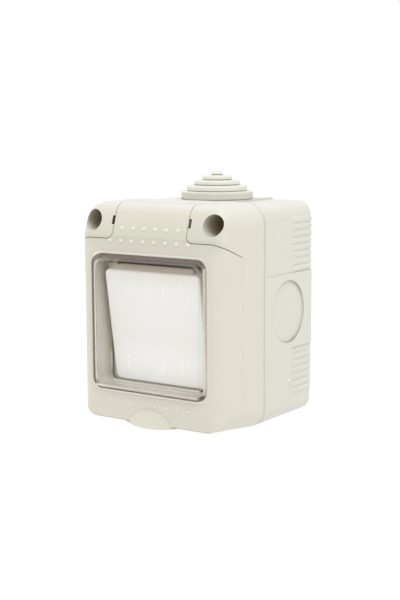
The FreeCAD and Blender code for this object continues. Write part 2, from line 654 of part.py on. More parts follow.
lip_low = LID_BOTTOM - LIP_DROP
lip_front = LID_FACE - LIP_FLARE
lip_crest = lip_profile(LIP_CREST_RADIUS, LID_FACE, DOT_LOWER_Z - LIP_CREST_DROP)
lip = Part.makeLoft([lip_profile(LIP_LOW_RADIUS, lip_front, lip_low), lip_crest], True, True)
drop_radius = (LIP_HALF_WIDTH ** 2 + LIP_DROP ** 2) / (2 * LIP_DROP)
lip = lip.common(rod_y(drop_radius, lip_front, LID_FACE + LIP_THICKNESS, 0, lip_low + drop_radius))
lid = lid.fuse(lip.cut(lid_hollow))
keep("lid", lid.removeSplitter())

# Clear window
pane = square_slab(WINDOW_HALF, WINDOW_CORNER, LID_FACE - WINDOW_PROUD, tunnel_front)
window_front = LID_FACE - WINDOW_PROUD
pane = pane.makeFillet(WINDOW_EDGE_RADIUS, edges_where(pane, lambda p: abs(p.y - window_front) < TINY))
flange_half = WINDOW_HALF + WINDOW_FLANGE
flange = square_slab(flange_half, WINDOW_CORNER + WINDOW_FLANGE, LID_FACE + LID_WALL, tunnel_front)
pane = pane.fuse(flange)
pane_back = window_front + WINDOW_PANE
pane = pane.cut(square_slab(TUNNEL_HALF, WINDOW_CORNER - WINDOW_RIM, pane_back, tunnel_front))
ticks = []
for row in (WINDOW_Z + TICK_UPPER_RISE, WINDOW_Z - TICK_LOWER_DROP):
    for i in range(TICK_COUNT):
        x = (i - (TICK_COUNT - 1) / 2) * TICK_PITCH
        low = row - TICK_LENGTH / 2
        half = TICK_WIDTH / 2
        crest = window_front - TICK_HEIGHT
        ticks.append(block(x - half, x + half, crest, window_front, low, low + TICK_LENGTH))
keep("window_membrane", pane.fuse(ticks).removeSplitter())

# Inner frame behind the window, its flange reaching round the window's flange to the lid
retainer_back = tunnel_front + RETAINER_THICKNESS
retainer = square_slab(flange_out, flange_corner + RETAINER_FLANGE, LID_FACE + LID_WALL, retainer_back)
retainer = retainer.cut(square_slab(flange_in, flange_corner, LID_FACE + LID_WALL, tunnel_front))
tunnel_corner = WINDOW_CORNER - WINDOW_RIM
tunnel_out = TUNNEL_HALF + TUNNEL_WALL
retainer = retainer.fuse(square_slab(tunnel_out, tunnel_corner + TUNNEL_WALL, tunnel_front, tunnel_back))
retainer = retainer.cut(square_slab(TUNNEL_HALF, tunnel_corner, tunnel_front, tunnel_back))
keep("window_retainer", retainer.common(front_shell(LID_WALL + WINDOW_FIT)).removeSplitter())


# Rocker, drawn with its face upright and then tilted about its pivot
def tilted(shape):
    turned = shape.copy()
    turned.rotate(V(0, PIVOT_Y, PIVOT_Z), V(1, 0, 0), ROCKER_TILT)
    return turned


face_y = PIVOT_Y - ROCKER_FACE_RADIUS
cap = square_slab(ROCKER_HALF_X, ROCKER_CORNER, face_y, face_y + ROCKER_SKIRT, ROCKER_HALF_Z)
cap = cap.makeFillet(ROCKER_EDGE_RADIUS, edges_where(cap, lambda p: abs(p.y - face_y) < TINY))
under = face_y + ROCKER_WALL
room_half = ROCKER_HALF_X - ROCKER_WALL
room_corner = ROCKER_CORNER - ROCKER_WALL / 2
cap = cap.cut(square_slab(room_half, room_corner, under, face_y + ROCKER_SKIRT, ROCKER_HALF_Z - ROCKER_WALL))
lug_out = LUG_INNER_X + LUG_THICKNESS
lug = block(LUG_INNER_X, lug_out, under, PIVOT_Y, PIVOT_Z - LUG_RADIUS, PIVOT_Z + LUG_RADIUS)
lug = lug.fuse(rod_x(LUG_RADIUS, LUG_INNER_X, lug_out, PIVOT_Y, PIVOT_Z))
lug = lug.fuse(rod_x(PIVOT_RADIUS, LUG_INNER_X, lug_out + PIVOT_LENGTH, PIVOT_Y, PIVOT_Z))
barrel = rod_y(PLUNGER_BOSS_RADIUS, under, PIVOT_Y + PLUNGER_BOSS_END, 0, PIVOT_Z)
cap = cap.fuse(both_sides(lug) + [barrel])
bore = PLUNGER_RADIUS + RUNNING_CLEARANCE
cap = cap.cut(rod_y(bore, under, PIVOT_Y + PLUNGER_BOSS_END, 0, PIVOT_Z))
keep("rocker", tilted(cap.removeSplitter()))
plunger_tip = PIVOT_Y + PLUNGER_REACH
plunger_head = plunger_tip - PLUNGER_LENGTH
plunger = rod_y(PLUNGER_RADIUS, plunger_head, plunger_tip - PLUNGER_RADIUS, 0, PIVOT_Z)
plunger = plunger.fuse(Part.makeSphere(PLUNGER_RADIUS, V(0, plunger_tip - PLUNGER_RADIUS, PIVOT_Z)))
keep("plunger", tilted(plunger.removeSplitter()))


def spring(start, end):
    """Wire coil along Y between two faces."""
    wire = SPRING_WIRE / 2
    mean = SPRING_RADIUS - wire
    height = end - start - SPRING_WIRE
    path = Part.makeHelix(height / SPRING_TURN_COUNT, height, mean)
    section = Part.Wire(Part.makeCircle(wire, V(mean, 0, 0), V(0, 1, 0)))
    coil = Part.Wire(path).makePipeShell([section], True, True)
    coil.rotate(V(0, 0, 0), V(1, 0, 0), -90)
    coil.translate(V(0, start + wire, PIVOT_Z))
    return coil


keep("plunger_spring", tilted(spring(under, plunger_head)))

# Mechanism housing behind the frame
house_x = HOUSING_WIDTH / 2
house_z = HOUSING_HEIGHT / 2
housing = block(-house_x, house_x, HOUSING_FRONT, HOUSING_BACK, PIVOT_Z - house_z, PIVOT_Z + house_z)
well = block(-house_x + HOUSING_WALL, house_x - HOUSING_WALL, HOUSING_FRONT + HOUSING_WALL, HOUSING_BACK,
             PIVOT_Z - house_z + HOUSING_WALL, PIVOT_Z + house_z - HOUSING_WALL)
housing = housing.cut(well)
wing = block(-FLANGE_REACH, FLANGE_REACH, HOUSING_FRONT, HOUSING_FRONT + HOUSING_WALL,
             PIVOT_Z - FLANGE_HALF_HEIGHT, PIVOT_Z + FLANGE_HALF_HEIGHT)
ear_x = lug_out + CONTACT_GAP
ear_out = ear_x + EAR_THICKNESS
ear = block(ear_x, ear_out, PIVOT_Y, HOUSING_FRONT, PIVOT_Z - EAR_RADIUS, PIVOT_Z + EAR_RADIUS)
ear = ear.fuse(rod_x(EAR_RADIUS, ear_x, ear_out, PIVOT_Y, PIVOT_Z))
ear = ear.cut(block(0, HALF, HOUSING_FRONT, HOUSING_BACK, PIVOT_Z - house_z, PIVOT_Z + house_z))
housing = housing.fuse([wing] + both_sides(ear))
housing = housing.cut(both_sides(rod_x(PIVOT_RADIUS + RUNNING_CLEARANCE, ear_x, ear_out, PIVOT_Y, PIVOT_Z)))
housing = housing.cut(block(-ear_x, ear_x, HOUSING_FRONT, HOUSING_FRONT + HOUSING_WALL,
                            PIVOT_Z - HOUSING_MOUTH_HALF, PIVOT_Z + HOUSING_MOUTH_HALF))
screw_hole = MODULE_SCREW_RADIUS + SCREW_FIT
wing_back = HOUSING_FRONT + HOUSING_WALL
housing = housing.cut([rod_y(screw_hole, HOUSING_FRONT, wing_back, x, z) for x, z in module_screws])
keep("mechanism_housing", housing.removeSplitter())
keep("module_screws", Part.makeCompound(
    [screw(MODULE_SCREW_RADIUS, MODULE_SCREW_LENGTH, MODULE_SCREW_HEAD_RADIUS, MODULE_SCREW_HEAD, x, z,
           HOUSING_FRONT + HOUSING_WALL, -1) for x, z in module_screws]))

# Contacts: a seesaw on the common terminal, and one fixed contact at each end
see_y = PIVOT_Y + PLUNGER_REACH + CONTACT_GAP
see_back = see_y + CONTACT_THICKNESS
see_axis_y = see_back + KNUCKLE_RADIUS / 2
half_width = CONTACT_WIDTH / 2


def seesaw(shape):
    turned = shape.copy()
    turned.rotate(V(0, see_axis_y, PIVOT_Z), V(1, 0, 0), -CONTACT_TILT)
    return turned


half_length = CONTACT_ARM + CONTACT_END
strip = block(-half_width, half_width, see_y, see_back, PIVOT_Z - half_length, PIVOT_Z + half_length)
knuckle = rod_x(KNUCKLE_RADIUS, -half_width, half_width, see_axis_y, PIVOT_Z)
knuckle = knuckle.cut(block(-HALF, HALF, LID_FACE, see_y, CASE_BOTTOM, CASE_TOP))
keep("moving_contact", seesaw(strip.fuse(knuckle).removeSplitter()))
rivet_rows = (PIVOT_Z - CONTACT_ARM, PIVOT_Z + CONTACT_ARM)
rivets = [rod_y(RIVET_RADIUS, see_back, see_back + RIVET_HEIGHT, 0, z) for z in rivet_rows]
keep("moving_rivets", seesaw(Part.makeCompound(rivets)))

plate_y = HOUSING_BACK - TERMINAL_PLATE
terminal_back = HOUSING_BACK + TERMINAL_SIZE
travel = math.sin(math.radians(CONTACT_TILT)) * (CONTACT_ARM + RIVET_RADIUS)
fixed_y = see_back + RIVET_HEIGHT + travel + CONTACT_GAP
strip_y = fixed_y + RIVET_HEIGHT
half_term = TERMINAL_SIZE / 2
wire_y = HOUSING_BACK + WIRE_SETBACK
keep("fixed_rivets", Part.makeCompound([rod_y(RIVET_RADIUS, fixed_y, strip_y, 0, z) for z in rivet_rows]))


def terminal_block(z):
    """Brass block with a wire bore along X and a clamping screw from behind."""
    body = block(-half_term, half_term, HOUSING_BACK, terminal_back, z - half_term, z + half_term)
    body = body.cut(rod_x(WIRE_BORE_RADIUS, -half_term, half_term, wire_y, z))
    return body.cut(rod_y(TERMINAL_SCREW_RADIUS + SCREW_FIT / 2, wire_y, terminal_back, 0, z))


def fixed_terminal(side):
    inner = CONTACT_ARM - RIVET_RADIUS - CONTACT_GAP
    low = PIVOT_Z + side * inner
    outer = PIVOT_Z + side * TERMINAL_SPACING
    leg = outer - side * 2 * CONTACT_THICKNESS
    arm_back = strip_y + CONTACT_THICKNESS
    arm = block(-half_width, half_width, strip_y, arm_back, min(low, outer), max(low, outer))
    post = block(-half_width, half_width, strip_y, HOUSING_BACK, min(leg, outer), max(leg, outer))
    return arm.fuse([post, terminal_block(outer)]).removeSplitter()


keep("upper_terminal", fixed_terminal(1))
keep("lower_terminal", fixed_terminal(-1))
post_half = KNUCKLE_RADIUS * 2
post = block(-half_width, half_width, see_axis_y, HOUSING_BACK, PIVOT_Z - post_half, PIVOT_Z + post_half)
room = KNUCKLE_RADIUS + RUNNING_CLEARANCE
post = post.cut(rod_x(room, -HALF, HALF, see_axis_y, PIVOT_Z))
keep("common_terminal", post.fuse(terminal_block(PIVOT_Z)).removeSplitter())
terminal_rows = [PIVOT_Z + side * TERMINAL_SPACING for side in (-1, 0, 1)]
screw_depth = terminal_back - wire_y - WIRE_BORE_RADIUS - SCREW_FIT
keep("terminal_screws", Part.makeCompound(
    [screw(TERMINAL_SCREW_RADIUS, screw_depth, TERMINAL_SCREW_HEAD_RADIUS, TERMINAL_SCREW_HEAD, 0, z,
           terminal_back, -1) for z in terminal_rows]))
plate_x = house_x - HOUSING_WALL - WINDOW_FIT
plate_z = house_z - HOUSING_WALL - WINDOW_FIT
plate = block(-plate_x, plate_x, plate_y, HOUSING_BACK, PIVOT_Z - plate_z, PIVOT_Z + plate_z)
slot_x = half_width + WINDOW_FIT
for z in terminal_rows:
    reach = post_half + WINDOW_FIT
    if z != PIVOT_Z:
        reach = 2 * CONTACT_THICKNESS + WINDOW_FIT
    plate = plate.cut(block(-slot_x, slot_x, plate_y, HOUSING_BACK, z - reach, z + reach))
keep("terminal_plate", plate)

os.makedirs("parts", exist_ok=True)
for name, shape in NODES.items():
    shape.exportStep("parts/" + name + ".step")
    print(name, len(shape.Solids), round(shape.Volume, 1), shape.isValid())
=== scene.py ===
import bpy
import math
from mathutils import Matrix, Vector


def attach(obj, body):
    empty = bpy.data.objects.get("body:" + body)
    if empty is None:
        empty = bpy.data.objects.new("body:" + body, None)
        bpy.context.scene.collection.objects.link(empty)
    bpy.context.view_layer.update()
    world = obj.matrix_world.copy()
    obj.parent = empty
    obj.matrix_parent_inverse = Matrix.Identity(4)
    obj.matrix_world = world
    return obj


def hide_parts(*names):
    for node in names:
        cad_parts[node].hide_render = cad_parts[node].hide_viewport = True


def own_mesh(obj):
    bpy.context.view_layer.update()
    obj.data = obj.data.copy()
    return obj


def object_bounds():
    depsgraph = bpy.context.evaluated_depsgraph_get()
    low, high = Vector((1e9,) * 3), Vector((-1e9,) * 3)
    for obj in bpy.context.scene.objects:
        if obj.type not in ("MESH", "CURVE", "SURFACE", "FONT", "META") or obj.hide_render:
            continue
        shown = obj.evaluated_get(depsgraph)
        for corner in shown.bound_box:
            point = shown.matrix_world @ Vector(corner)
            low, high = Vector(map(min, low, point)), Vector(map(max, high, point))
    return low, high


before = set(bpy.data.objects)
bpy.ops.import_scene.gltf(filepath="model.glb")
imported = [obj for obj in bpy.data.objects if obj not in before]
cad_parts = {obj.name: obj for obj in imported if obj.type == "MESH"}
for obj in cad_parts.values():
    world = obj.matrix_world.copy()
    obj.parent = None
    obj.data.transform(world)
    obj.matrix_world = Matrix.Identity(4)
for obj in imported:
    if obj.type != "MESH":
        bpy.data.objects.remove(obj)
cad_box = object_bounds()

# Camera, in metres and degrees, in the part's own frame
CAMERA_AT = Vector((0.29215, -0.45642, 0.0792))
CAMERA_YAW = 34.58
CAMERA_PITCH = 8.34
CAMERA_ROLL = -0.28
CAMERA_LENS = 74.93
CAMERA_SENSOR = 36.0
CAMERA_NEAR = 0.01

# Studio, with the name, place, size, power and colour of each lamp
WHITE = (1.0, 1.0, 1.0)
WORLD_STRENGTH = 1.0
FLOOR_SIZE = 6.0
FLOOR_COLOUR = (0.14, 0.14, 0.14)
FLOOR_MOTTLE = 0.995
FLOOR_NOISE = (3.0, 2.0)
FLOOR_ROUGHNESS = 0.8
FLOOR_GLOW = 0.88
LAMP_TARGET = (0.0, -0.035, 0.0)
LAMPS = (
    ("key", (0.62, -0.42, 1.25), 1.1, 7.4, (0.90, 0.96, 1.0)),
    ("top", (0.0, 0.05, 1.3), 0.8, 0.9, (0.75, 0.90, 1.0)),
    ("fill", (-0.95, -0.25, 0.35), 0.6, 1.2, (1.0, 0.98, 0.94)),
)

# Colours, linear
CASING = (0.640, 0.612, 0.518)
CASING_DEEP = (0.620, 0.592, 0.498)
# Painted shade in the casing's upper-corner holes and slots
CASING_CREVICE_SHADE = (0.330, 0.238, 0.100)
# Painted light on faces that look up, a light cool tone
CASING_TOP_LIGHT = (0.652, 0.630, 0.577)
# Painted shade where the front starts to lean back
CASING_LEAN_SHADE = (0.555, 0.541, 0.439)
# Painted shadow line along the lower edge of upright faces
CASING_UNDER_SHADE = (0.400, 0.405, 0.350)
# Painted shade in the hinge slots
CASING_SLOT_SHADE = (0.120, 0.090, 0.050)
# Painted highlight on the lid's rounded edge round the window
LID_RIM_HIGHLIGHT = (0.850, 0.820, 0.725)
# Painted highlight on the lid's dots
DOT_HIGHLIGHT = (0.705, 0.682, 0.592)
# Painted light on the lip's face
LIP_LIGHT = (0.635, 0.606, 0.508)
# Painted shade along the lip's edge, where it rises from the front
LIP_FOOT_SHADE = (0.560, 0.530, 0.440)
BOX = (0.638, 0.618, 0.542)
BOX_DEEP = (0.618, 0.598, 0.522)
# Painted shade in the knock-out grooves
BOX_GROOVE_SHADE = (0.240, 0.205, 0.135)
BOX_SEAM = (0.570, 0.555, 0.500)
BOX_PIP = (0.760, 0.750, 0.690)
ROCKER = (0.838, 0.830, 0.796)
ROCKER_DEEP = (0.828, 0.820, 0.784)
# Painted light on the rocker's lower end
ROCKER_LOW_LIGHT = (0.936, 0.930, 0.902)
# Painted shade in the rocker's gaps
ROCKER_CREVICE_SHADE = (0.800, 0.750, 0.660)
RUBBER = (0.600, 0.596, 0.520)
RUBBER_DEEP = (0.578, 0.572, 0.498)
# Painted shade in the grommet's gaps
RUBBER_CREVICE_SHADE = (0.480, 0.470, 0.395)
# Painted light on the grommet's upper steps
RUBBER_TIERS_LIGHT = (0.695, 0.690, 0.625)
SEAL = (0.330, 0.330, 0.315)
SEAL_DEEP = (0.290, 0.290, 0.275)
HOUSING = (0.640, 0.640, 0.610)
HOUSING_DEEP = (0.600, 0.600, 0.570)
# Painted shade in the mechanism's gaps
HOUSING_CREVICE_SHADE = (0.300, 0.295, 0.275)
NYLON = (0.760, 0.745, 0.690)
NYLON_DEEP = (0.725, 0.710, 0.650)
BRASS = (0.760, 0.560, 0.260)
BRASS_DEEP = (0.640, 0.450, 0.190)
SILVER = (0.800, 0.800, 0.780)
SILVER_DEEP = (0.680, 0.680, 0.660)
STEEL = (0.620, 0.620, 0.610)
STEEL_DEEP = (0.500, 0.500, 0.490)
# Painted dark tone of the film's rim lines and grazing view, standing in for refraction
FILM_EDGE = (0.110, 0.080, 0.082)
FILM_MARK = (0.950, 0.950, 0.930)
# Painted shade band along the film's top
FILM_TOP_SHADE = (0.210, 0.165, 0.140)
# Painted light on the film's skirt, edges and right wall, over the tunnel walls behind
FILM_SKIRT_LIGHT = (0.950, 0.895, 0.800)
# Painted light over the rocker's shaded upper side
FILM_UPPER_LIGHT = (0.600, 0.490, 0.365)
# Painted light over the tunnel's floor below the rocker
FILM_SILL_LIGHT = (0.660, 0.610, 0.520)

# How strongly the tints and the painted light and shade show, one being in full
# Strength of the painted rim highlight on the right side
LID_RIM_HIGHLIGHT_RIGHT = 0.25
# Strength of the painted highlight on the lower dots
LOWER_DOT_HIGHLIGHT = 0.8
# Strength of the painted groove shade at mid height and at the front of each knock-out
GROOVE_SIDE = 0.12
GROOVE_FRONT = 0.35
FILM_OPEN = 0.02
FILM_GRAZE = 0.08
FILM_LINE = 0.85
FILM_LINE_RIGHT = 0.30
FILM_SHADE = 0.65
# Strengths of the painted light and highlights on the film's skirt, edges and right wall
FILM_LIGHT_SHARE = 0.60
FILM_RIM_HIGHLIGHT = 0.75
FILM_RIM_HIGHLIGHT_RIGHT = 0.35
FILM_RIGHT_WALL_LIGHT = 0.75
FILM_LEDGE_HIGHLIGHT = 1.35
FILM_TICK = 0.17
FILM_TICK_UPPER = 0.11
# Strength of the painted light over the rocker's upper side
FILM_UPPER_LIGHT_SHARE = 0.35
# Strength of the painted light over the tunnel's floor
FILM_SILL_LIGHT_SHARE = 0.65

# Relief and gloss: noise as scale, detail and roughness, relief as depth, strength and edge radius
NOISE_RANGE = (0.3, 0.7)
DRIFT_NOISE = (45.0, 3.0)
GLOSS_NOISE = (160.0, 4.0)
GLOSS_RANGE = 0.06
GRAIN_DETAIL = (3.0, 0.6)
GRAIN_STRENGTH = 0.35
PLASTIC_IOR = 1.48
PLASTIC_SCATTER = (0.0012, 0.0010, 0.0007)
METAL_DRIFT_NOISE = (220.0, 5.0)
METAL_GLOSS_NOISE = (420.0, 4.0)
METAL_GLOSS_RANGE = 0.08
METAL_GRAIN_NOISE = (900.0, 4.0, 0.7)
METAL_RELIEF = (0.00002, 0.3, 0.0001)
FILM_GLOSS_NOISE = (90.0, 3.0)
FILM_GLOSS = (0.04, 0.09)
FILM_WAVE_NOISE = (130.0, 2.0)
FILM_RELIEF = (0.00004, 0.10, 0.0002)
FILM_IOR = 1.46
BEVEL_SAMPLES = 6

# Painted shade in gaps and holes: reach in metres, and the range of openness over which it darkens
SHADE_SAMPLES = 8
CREVICE_REACH = 0.004
CREVICE_RANGE = (0.05, 0.55)
CORNER_REACH = 0.009
CORNER_RANGE = (0.05, 0.60)

# Ranges of a face's direction over which its painted light or shade sets in
TOP_FACING = (0.45, 0.85)
FRONT_FACING = (-0.9, -0.6)
UPRIGHT_FACING = (-0.7, -0.5)
GRAZE_FACING = (0.70, 1.0)

# Places that the painted light and shade and the tints follow, in metres in the part's own frame
SHARP = 0.00005
FINE = 0.0002
HINGE_ACROSS = (0.0165, 0.0175)
HINGE_UP = (0.027, 0.029)
HINGE_HEIGHT = 0.03875
SLOT_ACROSS = (0.01785, 0.0192)
SLOT_HALF = 0.0017
LID_FACE = -0.0681
LEAN_START = 0.0326
LEAN_SLOPE = 0.33
LEAN_LOW = 0.0265
LEAN_HIGH = 0.0425
LIP_CREST = -0.0355
LIP_SOFT = 0.0003
LIP_PROUD = (0.00020, 0.00050)
LIP_FOOT_PROUD = (0.00003, 0.00025)
DOT_PROUD = (0.00008, 0.00030)
DOT_FADE = (LIP_CREST + 0.002, 0.0)
BOX_FRONT = -0.0381
BOX_RIM = 0.0009
BOX_FLANK = 0.0342
UNDER_HEIGHT = -0.0452
UNDER_SLOPE = 0.11
UNDER_LINE = (0.0002, 0.0004)
KNOCKOUT_MIDDLE = -0.01905
KNOCKOUT_RADIUS = 0.0127
KNOCKOUT_LINE = 0.0002
KNOCKOUT_FADE = 0.4
PIP_MIDDLE = (-0.018, -0.029)
PIP_RADIUS = 0.0007
TIERS_UP = (0.0483, 0.0486)
ROCKER_FOOT = (-0.0085, -0.0210)

# Window: a rounded square with the film's painted bands and lines, the ring being one on its
# outline
PANE_HALF = 0.0275
PANE_MIDDLE = -0.0022
PANE_LOW = PANE_MIDDLE - PANE_HALF
PANE_POWER = 14.8
PANE_FRONT = -0.0701
PANE_FRONT_RANGE = (PANE_FRONT + 0.0002, PANE_FRONT + 0.0004)
RIM_RING = (0.95, 1.70)
RIM_RING_SOFT = 0.1
RIM_DEPTH = (LID_FACE + 0.0006, LID_FACE + 0.0010)
RIM_RIGHT = (PANE_HALF - 0.003, PANE_HALF - 0.001)
WALL_RING = (0.68, 0.78)
WALL_ROOT = (LID_FACE - 0.0016, LID_FACE - 0.0001)
WALL_TURN = (PANE_HALF - 0.002, PANE_HALF - 0.001)
WALL_RIGHT = (PANE_HALF - 0.0004, PANE_HALF - 0.0002)
SKIRT_DEPTH = (-0.0688, -0.0685)
SHADE_UP = (0.0222, 0.0236)
BAND_SOFT = 0.0008
# Painted light band over the rocker's upper side
UPPER_LIGHT_ACROSS = (-0.0182, 0.0230)
UPPER_LIGHT_UP = (0.0197, 0.0221)
UPPER_LIGHT_SOFT = 0.0004
SILL_ACROSS = (-0.0172, 0.0255)
SILL_UP = (-0.0258, -0.0247)
EDGE_RING = (0.26, 0.44)
EDGE_RING_SOFT = 0.05
EDGE_UP = (PANE_LOW + 0.0030, PANE_LOW + 0.0040)
EDGE_RIGHT = (PANE_HALF - 0.004, PANE_HALF - 0.002)
LEDGE_UP = (PANE_LOW + 0.0010, PANE_LOW + 0.0019)
LOW_LINE_UP = (PANE_LOW + 0.0004, PANE_LOW + 0.0008)
TICK_PROUD = (PANE_FRONT - 0.00015, PANE_FRONT - 0.00005)
TICK_FADE = (-0.005, 0.005)

# Colour sockets of the mix node
MIX_FIRST = 6
MIX_SECOND = 7
MIX_RESULT = 2


def add_camera():
    yaw, pitch, roll = (math.radians(a) for a in (CAMERA_YAW, CAMERA_PITCH, CAMERA_ROLL))
    forward = math.cos(pitch)
    ahead = Vector((-math.sin(yaw) * forward, math.cos(yaw) * forward, -math.sin(pitch)))
    level = Vector((math.cos(yaw), math.sin(yaw), 0.0))
    upright = level.cross(ahead)
    right = math.cos(roll) * level + math.sin(roll) * upright
    up = math.cos(roll) * upright - math.sin(roll) * level
    data = bpy.data.cameras.new("camera")
    data.lens = CAMERA_LENS
    data.sensor_width = CAMERA_SENSOR
    data.clip_start = CAMERA_NEAR
    camera = bpy.data.objects.new("camera", data)
    turn = Matrix((right, up, -ahead)).transposed().to_4x4()
    camera.matrix_world = Matrix.Translation(CAMERA_AT) @ turn
    bpy.context.scene.collection.objects.link(camera)
    bpy.context.scene.camera = camera


def add_lamp(name, place, size, power, colour):
    """Round area lamp that shines at the part."""
    data = bpy.data.lights.new(name, "AREA")
    data.shape = "DISK"
    data.size = size
    data.energy = power
    data.color = colour
    lamp = bpy.data.objects.new(name, data)
    bpy.context.scene.collection.objects.link(lamp)
    way = Vector(LAMP_TARGET) - Vector(place)
    turn = way.to_track_quat("-Z", "Y").to_matrix().to_4x4()
    lamp.matrix_world = Matrix.Translation(place) @ turn


class Nodes:
    """Node tree of a new material, with short calls to add and link nodes."""

    def __init__(self, name):
        self.material = bpy.data.materials.new(name)
        self.material.use_nodes = True
        self.tree = self.material.node_tree
        self.shader = self.tree.nodes["Principled BSDF"]
        places = self.add("ShaderNodeTexCoord")
        self.coords = places.outputs["Object"]
        self.normal = places.outputs["Normal"]

    def add(self, kind, **settings):
        node = self.tree.nodes.new(kind)
        for key, value in settings.items():
            setattr(node, key, value)
        return node

    def link(self, start, end):
        self.tree.links.new(start, end)

    def feed(self, value, socket):
        """Link a socket of the shader."""
        self.link(value, self.shader.inputs[socket])

    def fix(self, socket, value):
        """Set a constant on a socket of the shader."""
        self.shader.inputs[socket].default_value = value

    def noise(self, scale, detail, roughness=0.5):
        node = self.add("ShaderNodeTexNoise")
        self.link(self.coords, node.inputs["Vector"])
        node.inputs["Scale"].default_value = scale
        node.inputs["Detail"].default_value = detail
        node.inputs["Roughness"].default_value = roughness
        return node.outputs["Fac"]

    def ramp(self, noise, low, high):
        """Spread a noise between two colours."""
        node = self.add("ShaderNodeValToRGB")
        for stop, place, colour in zip(node.color_ramp.elements, NOISE_RANGE, (low, high)):
            stop.position = place
            stop.color = (*colour, 1.0)
        self.link(noise, node.inputs["Fac"])
        return node.outputs["Color"]

    def spread(self, value, low, high, start=NOISE_RANGE[0], end=NOISE_RANGE[1]):
        """Spread a value, a noise unless a range is given, between two numbers."""
        node = self.add("ShaderNodeMapRange")
        self.link(value, node.inputs["Value"])
        node.inputs["From Min"].default_value = start
        node.inputs["From Max"].default_value = end
        node.inputs["To Min"].default_value = low
        node.inputs["To Max"].default_value = high
        return node.outputs["Result"]

    def rise(self, value, start, end):
        """Nought up to the start of a range, one from its end on."""
        return self.spread(value, 0.0, 1.0, start, end)

    def fall(self, value, start, end):
        """One up to the start of a range, nought from its end on."""
        return self.spread(value, 1.0, 0.0, start, end)

    def inside(self, value, low, high, soft=SHARP):
        """One where a value lies between two limits, nought elsewhere."""
        above = self.rise(value, low - soft, low + soft)
        return self.times(above, self.fall(value, high - soft, high + soft))

    def split(self, vector):
        """The three components of a vector."""
        node = self.add("ShaderNodeSeparateXYZ")
        self.link(vector, node.inputs["Vector"])
        return node.outputs["X"], node.outputs["Y"], node.outputs["Z"]

    def axes(self):
        """The three coordinates of a point in the part's own frame."""
        return self.split(self.coords)

    def calc(self, kind, first, second=None):
        """Math node on sockets or plain numbers."""
        node = self.add("ShaderNodeMath", operation=kind)
        for value, socket in zip((first, second), node.inputs):
            if isinstance(value, float):
                socket.default_value = value
            elif value is not None:
                self.link(value, socket)
        return node.outputs["Value"]

    def times(self, first, *others):
        """Product of all values."""
        for value in others:
            first = self.calc("MULTIPLY", first, value)
        return first

    def most(self, first, *others):
        """Largest of all values."""
        for value in others:
            first = self.calc("MAXIMUM", first, value)
        return first

    def minus(self, first, second):
        return self.calc("SUBTRACT", first, second)

    def size(self, value):
        """Value without its sign."""
        return self.calc("ABSOLUTE", value)

    def blend(self, share, low, high):
        """Mix from one colour to another, each a socket or three numbers."""
        mix = self.add("ShaderNodeMix", data_type="RGBA")
        self.link(share, mix.inputs["Factor"])
        for value, place in ((low, MIX_FIRST), (high, MIX_SECOND)):
            if isinstance(value, tuple):
                mix.inputs[place].default_value = (*value, 1.0)
            else:
                self.link(value, mix.inputs[place])
        return mix.outputs[MIX_RESULT]

    def depth(self, reach, limits):
        """One deep in a gap or hole, nought in the open, read from ambient occlusion to place
        painted shade.
        """
        shade = self.add("ShaderNodeAmbientOcclusion", samples=SHADE_SAMPLES, only_local=False)
        shade.inputs["Distance"].default_value = reach
        return self.fall(shade.outputs["AO"], *limits)

    def painted_crevice_shade(self, colour, dark):
        """Painted shade: deepen the colour in narrow gaps and holes."""
        return self.blend(self.depth(CREVICE_REACH, CREVICE_RANGE), colour, dark)

    def painted_corner_shade(self, colour, dark):
        """Painted shade: deepen the colour in the holes and slots of the two upper corners alone.
        """
        x, _, z = self.axes()
        beside = self.rise(self.size(x), *HINGE_ACROSS)
        high = self.rise(z, *HINGE_UP)
        deep = self.depth(CORNER_REACH, CORNER_RANGE)
        return self.blend(self.times(beside, high, deep), colour, dark)

    def slots(self, colour, dark):
        """Painted shade: darken the two hinge slots and the pivots inside them."""
        x, _, z = self.axes()
        along = self.inside(self.size(x), *SLOT_ACROSS)
        upright = self.inside(z, HINGE_HEIGHT - SLOT_HALF, HINGE_HEIGHT + SLOT_HALF)
        return self.blend(self.times(along, upright), colour, dark)

    def away(self, first, second, middle):
        """Distance from a line along the part's width."""
        a = self.minus(first, middle[0])
        b = self.minus(second, middle[1])
        return self.calc("SQRT", self.calc("ADD", self.times(a, a), self.times(b, b)))

    def flanks(self, colour):
        """Box sides: a painted shade line round each knock-out, a greyer front seam and a light
        pip.
        """
        x, y, z = self.axes()
        side = self.rise(self.size(x), BOX_FLANK - FINE, BOX_FLANK)
        # Painted shade in each knock-out's groove, weaker towards the front and at mid height
        ring = self.inside(self.away(y, z, (KNOCKOUT_MIDDLE, 0.0)),
                           KNOCKOUT_RADIUS - KNOCKOUT_LINE, KNOCKOUT_RADIUS + KNOCKOUT_LINE, FINE)
        back = self.spread(y, GROOVE_FRONT, 1.0, KNOCKOUT_MIDDLE - KNOCKOUT_RADIUS, KNOCKOUT_MIDDLE)
        ends = self.spread(self.size(z), GROOVE_SIDE, 1.0,
                           KNOCKOUT_FADE * KNOCKOUT_RADIUS, KNOCKOUT_RADIUS)
        colour = self.blend(self.times(side, ring, back, ends), colour, BOX_GROOVE_SHADE)
        seam = self.inside(y, BOX_FRONT, BOX_FRONT + BOX_RIM)
        colour = self.blend(self.times(side, seam), colour, BOX_SEAM)
        pip = self.fall(self.away(y, z, PIP_MIDDLE), PIP_RADIUS, PIP_RADIUS + FINE)
        return self.blend(self.times(side, pip), colour, BOX_PIP)

    def pane_ring(self, x, z):
        """Rounded square round the window: one on its outline, less inside it."""
        sides = (self.size(x), self.size(self.minus(z, PANE_MIDDLE)))
        across, along = (self.calc("POWER", self.calc("DIVIDE", side, PANE_HALF), PANE_POWER)
                         for side in sides)
        return self.calc("ADD", across, along)

